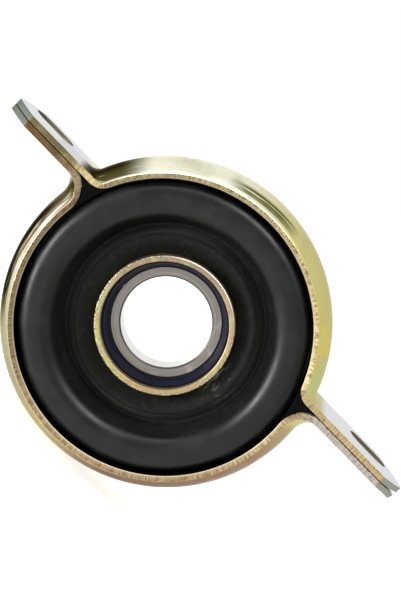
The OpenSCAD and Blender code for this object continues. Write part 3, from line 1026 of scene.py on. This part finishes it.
def makeWedge(name, hand):
    # rubber in the notch of one ear, between the ring and the two bends, drawn out to the ears' joint:
    # columns go from the ring to the joint, rows go round from the front face to the back face
    b, c = bracket, cushion
    lowerZ = earLevel(-1) - b["bend"][-1]
    lowerX = math.sqrt((b["ringRadius"] + b["bend"][-1]) ** 2 - lowerZ ** 2)
    upperZ = earLevel(1) + b["bend"][1]
    upperX = math.sqrt((b["ringRadius"] + b["bend"][1]) ** 2 - upperZ ** 2)
    lowerR = b["bend"][-1] + c["fitGap"]
    upperR = b["bend"][1] + c["fitGap"]
    joint = upperZ - upperR
    rise = math.asin((joint - lowerZ) / lowerR)
    first = math.atan2(lowerZ, lowerX)
    last = math.atan2(upperZ, upperX)
    end = lowerX - lowerR * math.cos(rise)
    s, v = (np.linspace(0, 1, n) for n in c["wedgeSteps"])
    v = v[:, None, None]
    lowTurn = math.pi + first + (-rise - first) * s
    lower = np.stack([lowerX + lowerR * np.cos(lowTurn), lowerZ + lowerR * np.sin(lowTurn)], axis=1)
    share = np.minimum(1, s / c["wedgeBend"])
    highTurn = math.pi + last + (math.pi / 2 - last) * share
    slide = np.maximum(0, s - c["wedgeBend"]) / (1 - c["wedgeBend"])
    highX = upperX + upperR * np.cos(highTurn) + (end - upperX) * slide
    upper = np.stack([highX, upperZ + upperR * np.sin(highTurn)], axis=1)
    flat = lower + (upper - lower) * v
    ring = first + (last - first) * v[..., 0]
    arc = (b["ringRadius"] - c["fitGap"]) * np.concatenate([np.cos(ring), np.sin(ring)], axis=1)
    flat = flat + (arc - flat[:, 0])[:, None] * (1 - s)[None, :, None] ** 2
    flat = np.concatenate([flat[:, :1].mean(axis=0, keepdims=True) + 0 * flat[:, :1], flat], axis=1)
    back = b["offset"] - b["ringHalf"] + c["bandInset"] + c["wedgeInset"]
    front = b["offset"] + b["ringHalf"] - c["wedgeFront"]
    rows = np.concatenate([flat, flat[::-1], flat[:1]])
    forward = np.repeat([front, back, front], [len(flat), len(flat), 1])[:, None] + 0 * rows[..., 0]
    forward[:, 0] = (front + back) / 2
    grid = np.stack([hand * rows[..., 0], -forward, rows[..., 1]], axis=-1)
    points = grid.reshape(-1, 3) * mm
    faces = gridFaces(grid.shape[0], grid.shape[1])
    if signedVolume(points, faces) < 0:
        faces = faces[:, ::-1]
    return makePiece(name, points, faces, grid[..., :2].reshape(-1, 2))


cushionLook = {
    "hub": linear(22, 23, 22),
    "bulge": linear(9, 10, 10),
    "bloom": linear(24, 26, 25),
    # painted light: a lighter band on the hub's slope into the valley, lifting its shade
    "paintedSlopeLight": linear(60, 61, 58),
    "dust": linear(48, 49, 46),
    # painted shade: the groove by the bracket's lip is near black
    "groove": linear(8, 8, 8),
    "scuff": linear(96, 96, 92),
    "outside": (("radius", 37, 45), ("radius", 55.7, 55.3)),
    "shine": (0.07, 0.23),  # at the hub and in the groove, lowered as painted shade; on the bulge
    "noises": {
        "cloud": ("Object", (90, 90, 90), 5, 0.6),
        "fine": ("Object", (700, 700, 700), 4),
        "dusty": ("Object", (520, 520, 520), 4, 0.65),
        "scratch": ("Object", (420, 420, 126), 4, 0.7),
    },
    "layers": (
        (None, (("outside",),), "bulge"),
        (None, (("cloud", 0.45, 0.8, 0.0, 0.8),), "bloom"),
        # painted light on the hub's slope
        (None, (("radius", 34.6, 35.6), ("radius", 37.6, 37)), "paintedSlopeLight"),
        (None, (("radius", 45, 37), ("dusty", 0.5, 0.7, 0.0, 0.35)), "dust"),
        # painted shade in the groove by the lip
        (None, (("radius", 55.3, 55.7),), "groove"),
        ((312, 20), (("scratch", 0.54, 0.68), ("radius", 40, 36)), "scuff"),
    ),
    "gloss": ("cloud", 0.3, 0.75, 0.3, 0.48),
    "bumps": (("cloud", 0.2, 0.7), ("fine", 0.03, 0.3)),
}


def cushionRubber(name):
    # less shine near the hub and in the groove as painted shade, a lighter band on the hub's slope as
    # painted light, a near-black groove by the lip as painted shade, a soft shine on the bulge and pale
    # scuffs at one side of the hub
    look = cushionLook
    material, values = startLook(name, look)
    values["outside"] = shareOf(material, values, None, look["outside"])
    # lower shine at the hub and in the groove: painted shade
    shine = remap(material, values["outside"], 0, 1, *look["shine"])
    link(material, shine, shaderOf(material).inputs["Specular IOR Level"])
    return finishLook(material, values, look, layTints(material, values, look, look["hub"]))


blackRubber = cushionRubber("blackRubber")
cushionOutline = roundedOutline(cushionCorners(), cushion["roundSteps"])
cushionPiece = turned("rubberCushion", cushionOutline, cushion["steps"], cushion["gap"])
dress(cushionPiece, "rubber_cushion", "cushion_rubber", blackRubber)
# near-black, almost shineless rubber in the notches: painted shade
notchRubberPaintedShade = mouldedRubber("notchRubberPaintedShade", linear(6, 6, 6), linear(10, 10, 10), 0.03)
for name, hand in (("longWedge", 1), ("shortWedge", -1)):
    dress(makeWedge(name, hand), "rubber_cushion", "cushion_rubber", notchRubberPaintedShade)
print("cushion made")


# Inner pieces that keep their CAD meshes

def dressNode(node, material):
    mesh = frame["nodes"][node].data
    mesh.materials.clear()
    mesh.materials.append(material)


cageSteel = groundSteel("cageSteel", linear(150, 148, 144), 3.0)
ballSteel = groundSteel("ballSteel", linear(205, 205, 207), 1.0)
for node in ("cage_front", "cage_rear", "cage_rivets"):
    dressNode(node, cageSteel)
for node in sorted(n for n in frame["nodes"] if n.startswith("ball_")):
    dressNode(node, ballSteel)
print("inner pieces dressed")


# Studio: white surroundings, a pale floor and soft lamps

studio = {
    "floorSize": 6.0,
    "floorColour": linear(236, 236, 234),
    "floorGlow": 0.7,
    "worldLight": 0.42,
    "lamps": {  # name: (right, up, back in metres, size, watts)
        "leftLamp": (-0.84, 0.22, 0.49, 0.42, 14.0),
        "rightLamp": (0.58, 0.55, 0.55, 0.5, 8.5),
        "topLamp": (0.0, 0.85, 0.3, 0.6, 3.0),
    },
}


def seenDirectly(owner):
    # 1 for rays from the camera, in a reflection or through glass
    path = put(owner, "ShaderNodeLightPath", {}).outputs
    total = path["Is Camera Ray"]
    for name in ("Is Glossy Ray", "Is Transmission Ray"):
        total = largest(owner, total, path[name])
    return total


def makeWorld():
    world = bpy.data.worlds.new("studio")
    bpy.context.scene.world = world
    world.use_nodes = True
    inputs = {"Value": seenDirectly(world), "To Min": studio["worldLight"], "To Max": 1.0}
    level = put(world, "ShaderNodeMapRange", inputs).outputs["Result"]
    sockets = world.node_tree.nodes["Background"].inputs
    link(world, level, sockets["Strength"])
    link(world, white, sockets["Color"])


def makeFloor():
    half = studio["floorSize"] / 2
    height = cadBox[0].z
    corners = [(-half, -half, height), (half, -half, height), (half, half, height), (-half, half, height)]
    mesh = bpy.data.meshes.new("floor")
    mesh.from_pydata(corners, [], [(0, 1, 2, 3)])
    floor = bpy.data.objects.new("floor", mesh)
    floor.visible_shadow = False  # it takes the part's shadow, and lets a low lamp reach the part
    bpy.context.scene.collection.objects.link(floor)
    colour = studio["floorColour"]
    material = startMaterial("paleFloor", Roughness=0.9, Base_Color=colour, Emission_Color=white)
    glow = multiply(material, seenDirectly(material), studio["floorGlow"])
    link(material, glow, shaderOf(material).inputs["Emission Strength"])
    floor.data.materials.append(material)


def makeLamps():
    aim = cameraSetup["target"]
    for name, (right, up, back, size, watts) in studio["lamps"].items():
        data = bpy.data.lights.new(name, "AREA")
        data.size = size
        data.energy = watts
        lamp = bpy.data.objects.new(name, data)
        lamp.location = aim + picRight * right + picUp * up + picBack * back
        lamp.rotation_euler = (lamp.location - aim).to_track_quat("Z", "Y").to_euler()
        data.cycles.use_multiple_importance_sampling = lamp.location.z > cadBox[0].z
        bpy.context.scene.collection.objects.link(lamp)


makeWorld()
makeFloor()
makeLamps()
bpy.context.scene.view_settings.view_transform = "Standard"
print("studio made")
